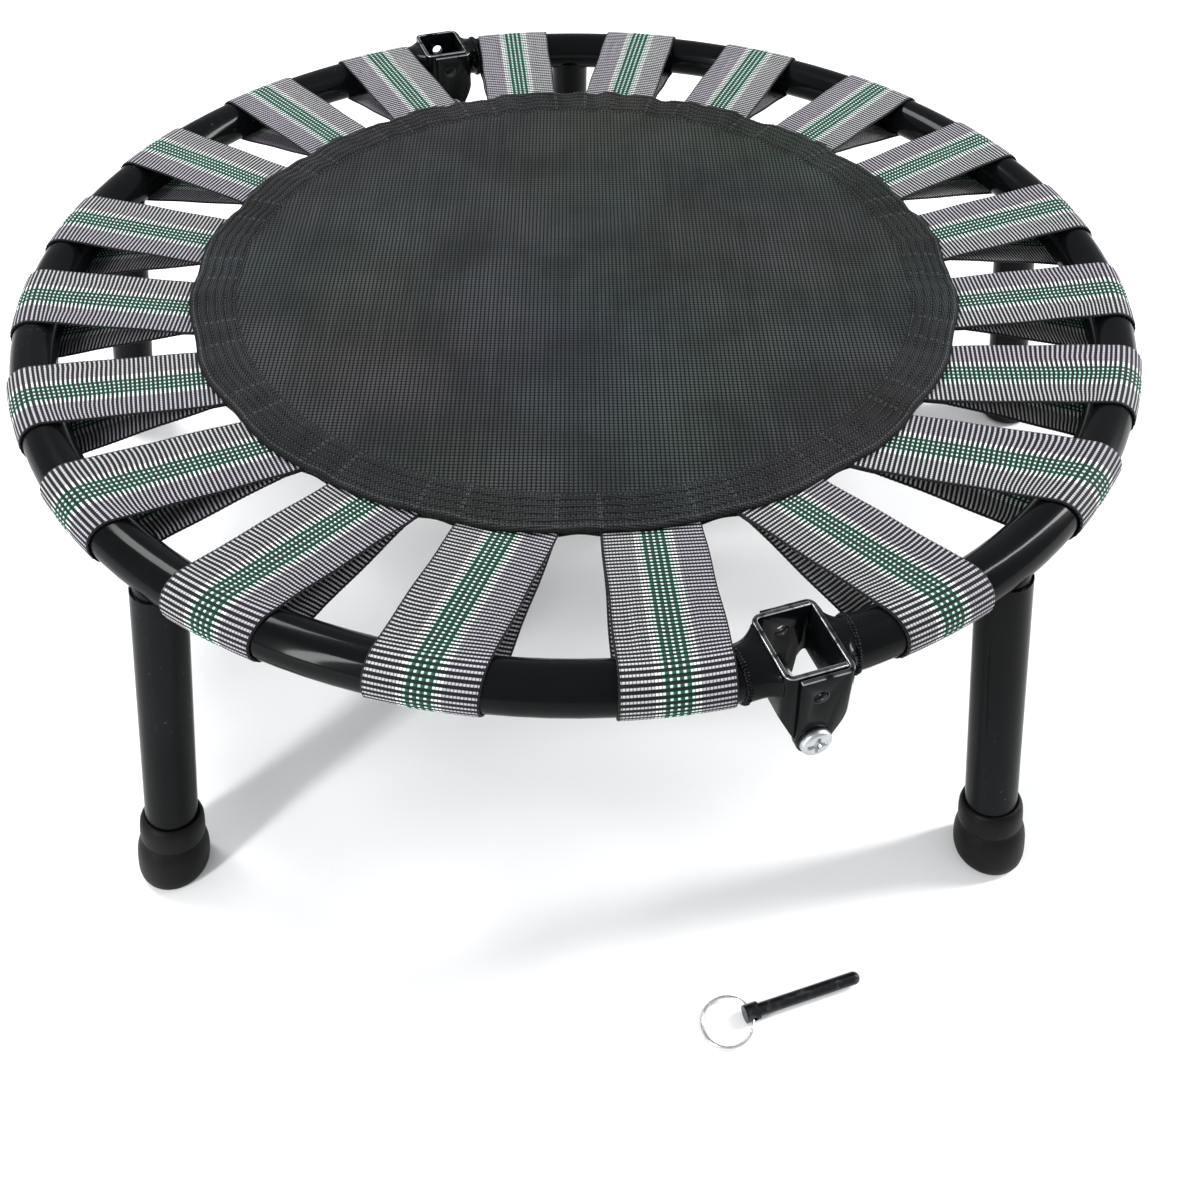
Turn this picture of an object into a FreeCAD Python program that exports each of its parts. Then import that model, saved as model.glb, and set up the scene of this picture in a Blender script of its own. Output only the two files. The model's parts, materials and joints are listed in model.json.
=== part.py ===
import FreeCAD, Part
import os
import re
import Sketcher
from FreeCAD import Placement, Rotation, Vector

# Folding mini trampoline: two steel half rings joined by a clevis hinge at each end of one diameter,
# a woven mat hung inside them on twenty loops of elastic webbing, and five legs that pull off for folding.
# Millimetres, +Z up, floor at Z = 0. The hinge line runs along Y; the right half is on the +X side.

doc = FreeCAD.newDocument("mini_trampoline")
sheet = doc.addObject("Spreadsheet::Sheet", "Dimensions")

DIMENSIONS = {
    # ring
    "ring_radius": 390.0,          # centreline of the tube
    "ring_height": 250.0,          # centreline above the floor
    "ring_shift": -23.45,          # puts the middle of the whole outline over the origin
    "tube_radius": 16.0,
    "tube_wall": 1.5,
    # hinge brackets, seen along the hinge line
    "plate_thick": 3.0,
    "box_half_length": 20.5,       # hinge line to the outer face of each web
    "outer_half_width": 28.0,
    "ear_gap": 0.3,                # between an inner ear and the outer ear beside it
    "outer_top": 15.0,
    "inner_top": 17.0,
    "outer_reach": 13.0,           # how far the outer ears pass the hinge line
    "inner_reach": 17.0,
    "web_bottom": -17.0,
    "pivot_drop": 36.0,            # tube centre down to the pivot
    "ear_round": 11.0,
    "lock_hole_radius": 4.5,
    "bead_offset": 0.6,            # middle of a weld bead outside the tube
    "bead_radius": 2.25,
    # pivot bolt, nut and sleeve
    "bolt_radius": 4.95,
    "bolt_hole_radius": 5.0,
    "bolt_head_radius": 9.5,
    "bolt_head_height": 5.5,
    "washer_radius": 9.0,
    "washer_thick": 1.2,
    "nut_circle": 16.2,            # across the corners
    "nut_height": 6.0,
    "bolt_tail": 3.0,
    "sleeve_radius": 7.5,
    # legs
    "leg_splay": 10.0,             # degrees out of plumb
    "leg_radius": 17.0,
    "leg_bore": 15.5,
    "spigot_radius": 15.45,
    "spigot_wall": 1.6,
    "spigot_length": 50.0,         # from the tube centre
    "leg_clearance": 0.3,          # between leg top and ring tube
    "saddle_depth": 8.0,           # the leg's shoulders stop this far below the tube's centre
    # feet
    "foot_height": 52.0,
    "foot_radius": 23.5,
    "foot_waist": 20.0,
    "sole_bevel": 3.0,
    "bevel_top": 5.0,
    "bulb_top": 24.0,
    "waist_length": 3.0,
    "collar_radius": 21.0,
    "collar_low": 34.0,
    "collar_step": 2.0,
    "collar_bevel": 5.0,
    "lip_width": 1.0,
    "foot_floor": 14.0,            # solid rubber under the leg tube
    # webbing loops
    "loop_inner": 16.6,            # inner radius of the bend round the tube
    "webbing_thick": 1.4,
    "webbing_at_tube": 65.0,
    "webbing_at_mat": 61.0,
    "hem_width": 34.0,
    "seam_inset": 2.0,             # from the mat's edge to where a loop's two ends part
    # mat
    "mat_radius": 282.0,
    "mat_low": 9.0,                # underside above the tube centre
    "mat_thick": 2.0,
    "hem_thick": 1.6,
    "sewn_gap": 0.1,               # between layers that are sewn together
    "mat_split": 0.6,              # gap left along the hinge line
    # lock pins
    "pin_radius": 4.0,
    "pin_length": 66.0,
    "pin_head_radius": 5.5,
    "pin_head_length": 9.0,
    "pin_ring_radius": 16.0,
    "pin_wire_radius": 0.9,
    "pin_eye_radius": 2.2,
    "pin_ring_tilt": 8.2,          # degrees, the ring's far side rests on the floor
    "pin_offset": 458.0,           # from the ring centre, on the floor below each hinge
}

# Where each leg stands, in degrees round the ring from +X.
LEG_ANGLES = {"leg_1": 292.5, "leg_2": 1.3, "leg_3": 72.0, "leg_4": 142.8, "leg_5": 212.5}
SIDE_LEGS = {"right": ("leg_1", "leg_2", "leg_3"), "left": ("leg_4", "leg_5")}

# Each webbing loop is sewn on at an even pitch, and has slipped a little round the tube, in degrees.
LOOP_PITCH = 18.0
LOOP_SLIPS = {
    "right": (3.7, 7.3, 5.8, 3.1, 2.0, 0.6, 0.0, 0.0, -1.0, -1.0),
    "left": (0.7, 0.0, 0.0, -0.5, -3.0, -3.5, -5.0, -4.0, -3.0, -1.5),
}

cells = dict(DIMENSIONS)
for leg, angle in LEG_ANGLES.items():
    cells[f"{leg}_angle"] = angle
for side, slips in LOOP_SLIPS.items():
    for number, slip in enumerate(slips, start=1):
        cells[f"slip_{side}_{number:02d}"] = slip
for row, (alias, number) in enumerate(cells.items(), start=1):
    sheet.set(f"A{row}", alias)
    sheet.set(f"B{row}", repr(number))
    sheet.setAlias(f"B{row}", alias)
doc.recompute()

X_AXIS, Y_AXIS, Z_AXIS = Vector(1, 0, 0), Vector(0, 1, 0), Vector(0, 0, 1)
HINGE_SIDES = {"front": -1, "rear": 1}
parts = []


def value(formula):
    """The number that a formula of sheet aliases gives."""
    return float(sheet.evalExpression(formula))


def bound(formula):
    """The same formula for another object: every alias holds an underscore, and nothing else does."""
    return re.sub(r"\b[a-z]+_[a-z_0-9]+\b", lambda word: "Dimensions." + word.group(0), formula)


def add(kind, name, **formulas):
    """A document object whose properties are bound to the sheet."""
    obj = doc.addObject(kind, name)
    for prop, formula in formulas.items():
        obj.setExpression(prop, bound(formula))
    return obj


def placed(obj, position, rotation=Rotation()):
    obj.Placement = Placement(position, rotation)
    return obj


def combine(kind, name, base, tool):
    obj = doc.addObject(kind, name)
    obj.Base, obj.Tool = base, tool
    return obj


def fused(name, shapes):
    obj = doc.addObject("Part::MultiFuse", name)
    obj.Shapes = shapes
    return obj


def grouped(name, shapes):
    """Identical pieces that share one node and stay separate solids."""
    obj = doc.addObject("Part::Compound", name)
    obj.Links = shapes
    return obj


def keep(obj, label, placement=None):
    """Marks an object as a finished sub-part; its label names its file."""
    obj.Label = label
    if placement is not None:
        obj.Placement = placement
    parts.append(obj)
    return obj


def ring_frame():
    """The ring's centre, in the row's frame."""
    return Placement(Vector(value("ring_shift"), 0, value("ring_height")), Rotation())


def around(angle, distance):
    """A frame this far out from the ring's centre, whose X points outwards."""
    turn = Rotation(Z_AXIS, angle)
    return ring_frame() * Placement(turn.multVec(Vector(distance, 0, 0)), turn)


def outline(sketch, corners, rounds=()):
    """A closed outline through the corners. Each corner is two formulas; a run listed in rounds,
    as {run number: (centre x, centre y)}, is an anticlockwise arc about that centre."""
    rounds = dict(rounds)
    points = [Vector(value(x), value(y), 0) for x, y in corners]
    edges = []
    for run, start in enumerate(points):
        end = points[(run + 1) % len(points)]
        if run in rounds:
            centre = Vector(*[value(c) for c in rounds[run]], 0)
            first, last = start - centre, end - centre
            circle = Part.Circle(centre, Z_AXIS, first.Length)
            arc = Part.ArcOfCircle(circle, circle.parameter(start), circle.parameter(end))
            edges.append(sketch.addGeometry(arc))
        else:
            edges.append(sketch.addGeometry(Part.LineSegment(start, end)))
    for run, edge in enumerate(edges):
        following = edges[(run + 1) % len(edges)]
        sketch.addConstraint(Sketcher.Constraint("Coincident", edge, 2, following, 1))
        for kind, formula in zip(("DistanceX", "DistanceY"), corners[run]):
            held = sketch.addConstraint(Sketcher.Constraint(kind, -1, 1, edge, 1, value(formula)))
            sketch.setExpression(f"Constraints[{held}]", bound(formula))
        if run in rounds:
            span = points[(run + 1) % len(points)] - points[run]
            across = abs(span.x) > abs(span.y)
            kind, formula = ("DistanceY", rounds[run][1]) if across else ("DistanceX", rounds[run][0])
            held = sketch.addConstraint(Sketcher.Constraint(kind, -1, 1, edge, 3, value(formula)))
            sketch.setExpression(f"Constraints[{held}]", bound(formula))
    return sketch


def body_sketch(body, plane, name):
    sketch = body.newObject("Sketcher::SketchObject", name)
    origin_plane = [f for f in body.Origin.OriginFeatures if f.Role == plane][0]
    sketch.AttachmentSupport = [(origin_plane, "")]
    sketch.MapMode = "FlatFace"
    return sketch


def feature(body, kind, name, sketch, **formulas):
    """A sketched feature of a body."""
    made = body.newObject(kind, name)
    made.Profile = sketch
    for prop, formula in formulas.items():
        made.setExpression(prop, bound(formula))
    sketch.Visibility = False
    return made


def circle_in(sketch, x, y, radius):
    made = sketch.addGeometry(Part.Circle(Vector(value(x), value(y), 0), Z_AXIS, value(radius)))
    size = sketch.addConstraint(Sketcher.Constraint("Radius", made, value(radius)))
    sketch.setExpression(f"Constraints[{size}]", bound(radius))
    for kind, formula in (("DistanceX", x), ("DistanceY", y)):
        held = sketch.addConstraint(Sketcher.Constraint(kind, -1, 1, made, 3, value(formula)))
        sketch.setExpression(f"Constraints[{held}]", bound(formula))


# ---- Ring: a steel tube bent to a circle and cut into two halves at the hinge line ----
def half_ring(side, direction):
    rim = add("Part::Torus", f"rim_{side}", Radius1="ring_radius", Radius2="tube_radius")
    bore = add("Part::Torus", f"rim_bore_{side}", Radius1="ring_radius", Radius2="tube_radius - tube_wall")
    tube = combine("Part::Cut", f"rim_tube_{side}", rim, bore)
    half = add("Part::Box", f"rim_half_{side}", Length="2 * ring_radius", Width="4 * ring_radius",
               Height="4 * tube_radius")
    reach = value("2 * ring_radius")
    start = value("box_half_length") if direction > 0 else -value("box_half_length") - reach
    placed(half, Vector(start, -reach, -value("2 * tube_radius")))
    return keep(combine("Part::Common", f"ring_{side}", tube, half), f"ring_tube_{side}", ring_frame())


# ---- Hinge brackets: steel channels, one nested inside the other, welded to the tube ends ----
def bracket(label, direction, half_width, top, reach, end):
    """An upright channel: a web across the tube end and two ears that run down to the pivot."""
    body = doc.addObject("PartDesign::Body", "bracket_body_" + label)
    ear = body_sketch(body, "XZ_Plane", "ear_outline_" + label)
    web_side, free_side = f"{direction} * box_half_length", f"{-direction} * {reach}"
    corners = [(web_side, top), (free_side, top),
               (f"{-direction} * ear_round", "-pivot_drop"), (f"{direction} * ear_round", "-pivot_drop"),
               (web_side, "web_bottom")]
    if direction < 0:
        corners = corners[::-1]
        rounds = {1: ("0", "-pivot_drop")}
    else:
        rounds = {2: ("0", "-pivot_drop")}
    outline(ear, corners, rounds)
    slab = feature(body, "PartDesign::Pad", "ears_" + label, ear, Length=f"2 * {half_width}")
    slab.SideType = "Symmetric"
    doc.recompute()
    inside = body_sketch(body, "XY_Plane", "channel_" + label)
    near, far = f"{direction} * (box_half_length - plate_thick)", f"{-direction} * 2 * box_half_length"
    side = f"({half_width} - plate_thick)"
    outline(inside, [(near, "-" + side), (near, side), (far, side), (far, "-" + side)])
    cavity = feature(body, "PartDesign::Pocket", "cavity_" + label, inside)
    cavity.Type = "ThroughAll"
    cavity.Midplane = True
    holes = body_sketch(body, "XZ_Plane", "holes_" + label)
    circle_in(holes, "0", "0", "lock_hole_radius")
    circle_in(holes, "0", "-pivot_drop", "bolt_hole_radius")
    drilled = feature(body, "PartDesign::Pocket", "drilled_" + label, holes)
    drilled.Type = "ThroughAll"
    drilled.Midplane = True
    body.Tip = drilled
    doc.recompute()
    return keep(body, label, around(0, 0) * Placement(Vector(0, end * value("ring_radius"), 0), Rotation()))


def weld(name, direction, end):
    """The bead where a tube end butts against its bracket's web."""
    bead = add("Part::Torus", name, Radius1="tube_radius + bead_offset", Radius2="bead_radius")
    inner = add("Part::Cylinder", name + "_core", Radius="tube_radius", Height="4 * plate_thick")
    placed(inner, Vector(0, 0, -value("2 * plate_thick")))
    plate = add("Part::Box", name + "_plate", Length="8 * tube_radius", Width="8 * tube_radius",
                Height="4 * plate_thick")
    placed(plate, Vector(-value("4 * tube_radius"), -value("4 * tube_radius"), -value("4 * plate_thick")))
    outside = combine("Part::Cut", name + "_ring", bead, inner)
    trimmed = combine("Part::Cut", name + "_bead", outside, plate)
    turn = Rotation(Z_AXIS, X_AXIS * direction)
    line = value("sqrt(ring_radius * ring_radius - box_half_length * box_half_length)")
    return placed(trimmed, Vector(direction * value("box_half_length"), end * line, 0), turn)


# ---- Legs: plain tubes that push over spigots welded under the ring ----
def along_leg(shape, start):
    """Stands a shape on the splayed leg line, this far below the tube's centre; Z runs down the leg."""
    splay = value("leg_splay")
    turn = Rotation(Y_AXIS, 180.0 - splay)
    return placed(shape, turn.multVec(Vector(0, 0, start)), turn)


def spigot(name, angle):
    outer = add("Part::Cylinder", name + "_outer", Radius="spigot_radius", Height="spigot_length")
    bore = add("Part::Cylinder", name + "_bore", Radius="spigot_radius - spigot_wall",
               Height="spigot_length + 1")
    ring = add("Part::Torus", name + "_ring", Radius1="ring_radius", Radius2="tube_radius")
    along_leg(outer, 0.0)
    along_leg(bore, 0.0)
    placed(ring, Vector(-value("ring_radius"), 0, 0))
    hollow = combine("Part::Cut", name + "_tube", outer, bore)
    saddled = combine("Part::Cut", name, hollow, ring)
    saddled.Placement = around(angle, value("ring_radius"))
    return saddled


def leg_length():
    """Along the leg, from the tube's centre to the floor."""
    return value("ring_height / cos(leg_splay * 1deg)")


def leg(label, angle):
    """A tube with a saddle-cut top that stops just below the ring, and reaches into its foot."""
    end = "ring_height / cos(leg_splay * 1deg) - foot_floor"
    outer = add("Part::Cylinder", label + "_outer", Radius="leg_radius", Height=end)
    bore = add("Part::Cylinder", label + "_bore", Radius="leg_bore", Height=end + " + 1")
    ring = add("Part::Torus", label + "_ring", Radius1="ring_radius", Radius2="tube_radius + leg_clearance")
    along_leg(outer, 0.0)
    along_leg(bore, 0.0)
    placed(ring, Vector(-value("ring_radius"), 0, 0))
    hollow = combine("Part::Cut", label + "_hollow", outer, bore)
    saddled = combine("Part::Cut", label + "_saddled", hollow, ring)
    above = add("Part::Box", label + "_above", Length="8 * leg_radius", Width="8 * leg_radius",
                Height="4 * leg_radius")
    placed(above, Vector(-value("4 * leg_radius"), -value("4 * leg_radius"), -value("saddle_depth")))
    return keep(combine("Part::Cut", label + "_tube", saddled, above), label + "_tube",
                around(angle, value("ring_radius")))


def foot(label, angle):
    """A rubber cap turned about the leg line: bulb, waist and collar, its sole cut level with the floor."""
    body = doc.addObject("PartDesign::Body", "foot_body_" + label)
    section = body_sketch(body, "XZ_Plane", "foot_section_" + label)
    low = "-foot_floor"
    outline(section, [("0", low), ("foot_radius - sole_bevel", low), ("foot_radius", "bevel_top"),
                      ("foot_radius", "bulb_top"), ("foot_waist", "collar_low - waist_length"),
                      ("foot_waist", "collar_low"), ("collar_radius", "collar_low + collar_step"),
                      ("collar_radius", "foot_height - collar_bevel"),
                      ("leg_radius + lip_width", "foot_height"), ("leg_radius", "foot_height"),
                      ("leg_radius", "foot_floor"), ("0", "foot_floor")])
    turned = feature(body, "PartDesign::Revolution", "turned_" + label, section)
    turned.ReferenceAxis = (section, ["V_Axis"])
    turned.Angle = 360
    body.Tip = turned
    doc.recompute()
    sole = Rotation(Y_AXIS, -value("leg_splay"))
    drop = leg_length()
    bottom = Rotation(Y_AXIS, 180.0 - value("leg_splay")).multVec(Vector(0, 0, drop))
    body.Placement = Placement(bottom, sole)
    floor = add("Part::Box", label + "_floor", Length="8 * foot_radius", Width="8 * foot_radius",
                Height="4 * foot_radius")
    placed(floor, Vector(bottom.x - value("4 * foot_radius"), -value("4 * foot_radius"),
                         bottom.z - value("4 * foot_radius")))
    return keep(combine("Part::Cut", label + "_cap", body, floor), label + "_foot",
                around(angle, value("ring_radius")))


# ---- Webbing: elastic loops round the tube, both ends sewn under the mat's edge ----
def loop_profile(name):
    """Side view of a loop; X is measured outwards from the tube's centre."""
    sketch = doc.addObject("Sketcher::SketchObject", name)
    sketch.Placement = Placement(Vector(0, 0, 0), Rotation(X_AXIS, 90))
    end, seam = "mat_radius - hem_width - ring_radius", "mat_radius - seam_inset - ring_radius"
    top, low = "mat_low - sewn_gap", "mat_low - sewn_gap - 2 * webbing_thick"
    outer = "(loop_inner + webbing_thick)"
    outline(sketch, [(end, low), (seam, low), ("0", "-" + outer), ("0", outer), (seam, top), (end, top)],
            {2: ("0", "0")})
    middle = "mat_low - sewn_gap - webbing_thick"
    outline(sketch, [(seam, middle), ("0", "-loop_inner"), ("0", "loop_inner")], {1: ("0", "0")})
    return sketch


def loop_plan(name, slip):
    """Plan of a loop: it leans, because its ends at the mat have not slipped with the tube end."""
    sketch = doc.addObject("Sketcher::SketchObject", name)
    end, outside = "(mat_radius - hem_width - ring_radius - 1)", "(2 * tube_radius)"
    lean = f"(mat_radius * sin({slip} * 1deg) / (ring_radius - mat_radius * cos({slip} * 1deg)))"
    outline(sketch, [(end, f"{lean} * {end} - webbing_at_mat / 2"),
                     (outside, f"{lean} * {outside} - webbing_at_tube / 2"),
                     (outside, f"{lean} * {outside} + webbing_at_tube / 2"),
                     (end, f"{lean} * {end} + webbing_at_mat / 2")])
    return sketch


def extruded(name, sketch, length):
    solid = add("Part::Extrusion", name, LengthFwd=length)
    solid.Base = sketch
    solid.DirMode = "Normal"
    solid.Symmetric = True
    solid.Solid = True
    return solid


def webbing_loop(side, number, start):
    slip = f"slip_{side}_{number:02d}"
    band = extruded(f"band_{side}_{number}", profile, "4 * webbing_at_tube")
    footprint = loop_plan(f"plan_sketch_{side}_{number}", slip)
    plan = extruded(f"plan_{side}_{number}", footprint, "8 * tube_radius")
    angle = start + (number - 0.5) * LOOP_PITCH + value(slip)
    return keep(combine("Part::Common", f"loop_{side}_{number}", band, plan),
                f"webbing_{side}_{number:02d}", around(angle, value("ring_radius")))


# ---- Mat: woven polypropylene, hemmed all round; each half disc rides on its half of the ring ----
def half_disc(label, direction, low, thick, inner=None):
    """Half of a flat disc or band that stops just short of the hinge line."""
    disc = add("Part::Cylinder", label + "_disc", Radius="mat_radius", Height=thick)
    placed(disc, Vector(0, 0, value(low)))
    if inner:
        hollow = add("Part::Cylinder", label + "_hollow", Radius=inner, Height=thick)
        placed(hollow, Vector(0, 0, value(low)))
        disc = combine("Part::Cut", label + "_band", disc, hollow)
    half = add("Part::Box", label + "_half", Length="2 * mat_radius", Width="4 * mat_radius",
               Height="4 * tube_radius")
    reach = value("2 * mat_radius")
    start = value("mat_split / 2") if direction > 0 else -value("mat_split / 2") - reach
    placed(half, Vector(start, -reach, -value("2 * tube_radius")))
    return keep(combine("Part::Common", label + "_cut", disc, half), label, ring_frame())


# ---- Pivot bolts: dome-headed outside, nut inside, with a sleeve between the inner ears ----
def across_hinge(shape, end, start):
    """Lays a shape on the pivot, this far outwards from the tube's centreline; Z runs outwards."""
    turn = Rotation(Z_AXIS, Y_AXIS * end)
    position = Vector(0, end * (value("ring_radius") + start), -value("pivot_drop"))
    shape.Placement = ring_frame() * Placement(position, turn)
    return shape


def pivot_bolt(end_name, end):
    name = f"pivot_bolt_{end_name}"
    shank = add("Part::Cylinder", name + "_shank", Radius="bolt_radius",
                Height="2 * outer_half_width + washer_thick + nut_height + bolt_tail")
    across_hinge(shank, end, -value("outer_half_width + washer_thick + nut_height + bolt_tail"))
    dome = add("Part::Ellipsoid", name + "_dome", Radius1="bolt_head_height", Radius2="bolt_head_radius",
               Radius3="bolt_head_radius")
    dome.Angle1 = 0
    across_hinge(dome, end, value("outer_half_width"))
    return keep(fused(name, [shank, dome]), name)


def pivot_nut(end_name, end):
    name = f"pivot_nut_{end_name}"
    prism = add("Part::Prism", name + "_hexagon", Circumradius="nut_circle / 2", Height="nut_height")
    prism.Polygon = 6
    hole = add("Part::Cylinder", name + "_hole", Radius="bolt_radius", Height="nut_height")
    cut = combine("Part::Cut", name, prism, hole)
    across_hinge(cut, end, -value("outer_half_width + washer_thick + nut_height"))
    return keep(cut, name)


def tube_on_pivot(name, end, radius, hole, length, start):
    outer = add("Part::Cylinder", name + "_outer", Radius=radius, Height=length)
    bore = add("Part::Cylinder", name + "_hole", Radius=hole, Height=length)
    return across_hinge(combine("Part::Cut", name, outer, bore), end, value(start))


# ---- Lock pins: pulled out, each lying on the floor below its hinge with its wire ring ----
def lock_pin(end_name, end):
    shank = add("Part::Cylinder", f"pin_shank_{end_name}", Radius="pin_radius", Height="pin_length")
    head = add("Part::Cylinder", f"pin_head_{end_name}", Radius="pin_head_radius", Height="pin_head_length")
    placed(head, Vector(0, 0, value("pin_length")))
    tip = add("Part::Sphere", f"pin_tip_{end_name}", Radius="pin_radius")
    eye = add("Part::Cylinder", f"pin_eye_{end_name}", Radius="pin_eye_radius", Height="4 * pin_radius")
    placed(eye, Vector(0, 2 * value("pin_radius"), value("pin_length + pin_head_length / 2")),
           Rotation(X_AXIS, 90))
    whole = fused(f"pin_whole_{end_name}", [shank, head, tip])
    drilled = combine("Part::Cut", f"lock_pin_{end_name}", whole, eye)
    lying = Placement(Vector(value("ring_shift") - end * value("pin_length / 2"),
                             end * value("pin_offset"), value("pin_head_radius")),
                      Rotation(Z_AXIS, X_AXIS * end))
    keep(drilled, f"lock_pin_{end_name}", lying)
    wire = add("Part::Torus", f"wire_{end_name}", Radius1="pin_ring_radius", Radius2="pin_wire_radius")
    eye_centre = lying.multVec(Vector(0, 0, value("pin_length + pin_head_length / 2")))
    tilt = Rotation(Y_AXIS, end * value("pin_ring_tilt"))
    centre = eye_centre + tilt.multVec(Vector(end * value("pin_ring_radius"), 0, 0))
    keep(wire, f"pin_ring_{end_name}", Placement(centre, tilt))


# ---- Assembly ----
profile = loop_profile("loop_profile")
doc.recompute()
inner_width = "(outer_half_width - plate_thick - ear_gap)"
for side, direction, first_angle in (("right", 1, -90.0), ("left", -1, 90.0)):
    half_ring(side, direction)
    for end_name, end in HINGE_SIDES.items():
        if direction > 0:
            bracket(f"outer_bracket_{end_name}", 1, "outer_half_width", "outer_top", "outer_reach", end)
        else:
            bracket(f"inner_bracket_{end_name}", -1, inner_width, "inner_top", "inner_reach", end)
    beads = [weld(f"weld_{side}_{end_name}", direction, end) for end_name, end in HINGE_SIDES.items()]
    keep(grouped(f"welds_{side}", beads), f"weld_beads_{side}", ring_frame())
    spigots = [spigot(f"spigot_{name}", value(f"{name}_angle")) for name in SIDE_LEGS[side]]
    keep(grouped(f"spigots_{side}", spigots), f"leg_spigots_{side}")
    for name in SIDE_LEGS[side]:
        leg(name, value(f"{name}_angle"))
        foot(name, value(f"{name}_angle"))
    half_disc(f"mat_{side}", direction, "mat_low", "mat_thick")
    hem_low = "mat_low - 2 * (sewn_gap + webbing_thick) - hem_thick"
    half_disc(f"mat_hem_{side}", direction, hem_low, "hem_thick", "mat_radius - hem_width")
    for number in range(1, len(LOOP_SLIPS[side]) + 1):
        webbing_loop(side, number, first_angle)
for end_name, end in HINGE_SIDES.items():
    pivot_bolt(end_name, end)
    pivot_nut(end_name, end)
    lock_pin(end_name, end)
washers = [tube_on_pivot(f"washer_{end_name}", end, "washer_radius", "bolt_radius", "washer_thick",
                         "-outer_half_width - washer_thick") for end_name, end in HINGE_SIDES.items()]
keep(grouped("washers", washers), "pivot_washers")
sleeve_length = "2 * (outer_half_width - 2 * plate_thick - ear_gap)"
sleeves = [tube_on_pivot(f"sleeve_{end_name}", end, "sleeve_radius", "bolt_radius", sleeve_length,
                         f"-{sleeve_length} / 2") for end_name, end in HINGE_SIDES.items()]
keep(grouped("sleeves", sleeves), "pivot_sleeves")

doc.recompute()
for obj in doc.Objects:
    if "Invalid" in obj.State or "Error" in obj.State:
        raise RuntimeError(f"{obj.Name} failed: {obj.State}")
os.makedirs("parts", exist_ok=True)
whole = FreeCAD.BoundBox()
for obj in parts:
    if obj.Shape.isNull() or not obj.Shape.isValid() or not obj.Shape.Solids:
        raise RuntimeError(f"{obj.Label} has no valid solid")
    whole.add(obj.Shape.BoundBox)
    obj.Shape.exportStep(f"parts/{obj.Label}.step")
print(len(parts), "parts; outline", whole)
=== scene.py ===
import json
import math
import random

import bmesh
import bpy
import numpy as np
from mathutils import Matrix, Vector


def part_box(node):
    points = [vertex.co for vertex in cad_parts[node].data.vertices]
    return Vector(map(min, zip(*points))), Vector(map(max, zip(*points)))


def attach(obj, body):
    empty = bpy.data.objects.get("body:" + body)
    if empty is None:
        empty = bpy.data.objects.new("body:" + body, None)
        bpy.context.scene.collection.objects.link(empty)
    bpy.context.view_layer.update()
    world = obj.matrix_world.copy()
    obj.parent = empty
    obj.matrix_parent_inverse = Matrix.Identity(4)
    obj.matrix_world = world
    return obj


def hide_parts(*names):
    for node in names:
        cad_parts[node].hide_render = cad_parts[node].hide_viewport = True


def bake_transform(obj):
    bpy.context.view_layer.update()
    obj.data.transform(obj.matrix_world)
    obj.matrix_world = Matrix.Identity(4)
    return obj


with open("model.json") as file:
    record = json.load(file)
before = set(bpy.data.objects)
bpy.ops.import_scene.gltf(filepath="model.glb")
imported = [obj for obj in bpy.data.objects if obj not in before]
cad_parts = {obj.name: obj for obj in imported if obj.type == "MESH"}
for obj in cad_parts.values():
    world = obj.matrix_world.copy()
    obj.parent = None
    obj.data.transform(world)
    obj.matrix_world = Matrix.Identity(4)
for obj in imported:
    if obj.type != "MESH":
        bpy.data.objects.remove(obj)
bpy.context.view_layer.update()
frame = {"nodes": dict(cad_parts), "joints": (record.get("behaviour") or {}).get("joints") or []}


# ---- Ring halves, spigots and leg tubes -------------------------------------------------------
# Bent steel tube, 32 mm, and straight 34 mm leg tube, sprayed gloss black. The halves are welded to
# their hinge brackets; the spigots are welded under the ring, and each leg pushes up over one.
fold = [joint for joint in frame["joints"] if joint["name"] == "fold"][0]
ring_middle = Vector((fold["pos_m"][0], 0.0, 0.250))
ring_radius = 0.390
tube_radius = 0.016
paint_black = (0.0015, 0.0018, 0.0020, 1)
paint_haze = (0.0035, 0.0042, 0.0046, 1)
bare_steel = (0.42, 0.43, 0.44, 1)


class Tone:
    """One socket of a node tree; arithmetic on it adds Math nodes."""

    def __init__(self, tree, socket):
        self.tree, self.socket = tree, socket

    def math(self, operation, *values):
        return self.tree.node("ShaderNodeMath", dict(enumerate(values)), operation=operation)

    def wave(self, rate):
        """|sin(rate * tone)|, which is 0 once in each half turn."""
        wave = self.math("SINE", self * rate)
        return wave.math("ABSOLUTE", wave)

    def ridge(self):
        """A triangle wave: 0 at each whole number, 1 half way between them."""
        off = self.math("FRACT", self) - 0.5
        return 1 - off.math("ABSOLUTE", off) * 2

    def __add__(self, other):
        return self.math("ADD", self, other)

    def __sub__(self, other):
        return self.math("SUBTRACT", self, other)

    def __rsub__(self, other):
        return self.math("SUBTRACT", other, self)

    def __mul__(self, other):
        return self.math("MULTIPLY", self, other)

    __radd__ = __add__


class Tree:
    """A node tree under construction: one method makes any node."""

    def __init__(self, tree):
        self.tree = tree

    def node(self, kind, sockets=(), output=0, stops=(), **settings):
        made = self.tree.nodes.new(kind)
        for setting, value in settings.items():
            setattr(made, setting, value)
        if stops:
            ramp = made.color_ramp
            ramp.interpolation = "CONSTANT"
            for number, (place, colour) in enumerate(stops):
                stop = ramp.elements[number] if number < 2 else ramp.elements.new(place)
                stop.position, stop.color = place, colour
        for socket, value in dict(sockets).items():
            if isinstance(value, Tone):
                self.tree.links.new(value.socket, made.inputs[socket])
            else:
                made.inputs[socket].default_value = value
        return Tone(self, made.outputs[output])


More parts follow.
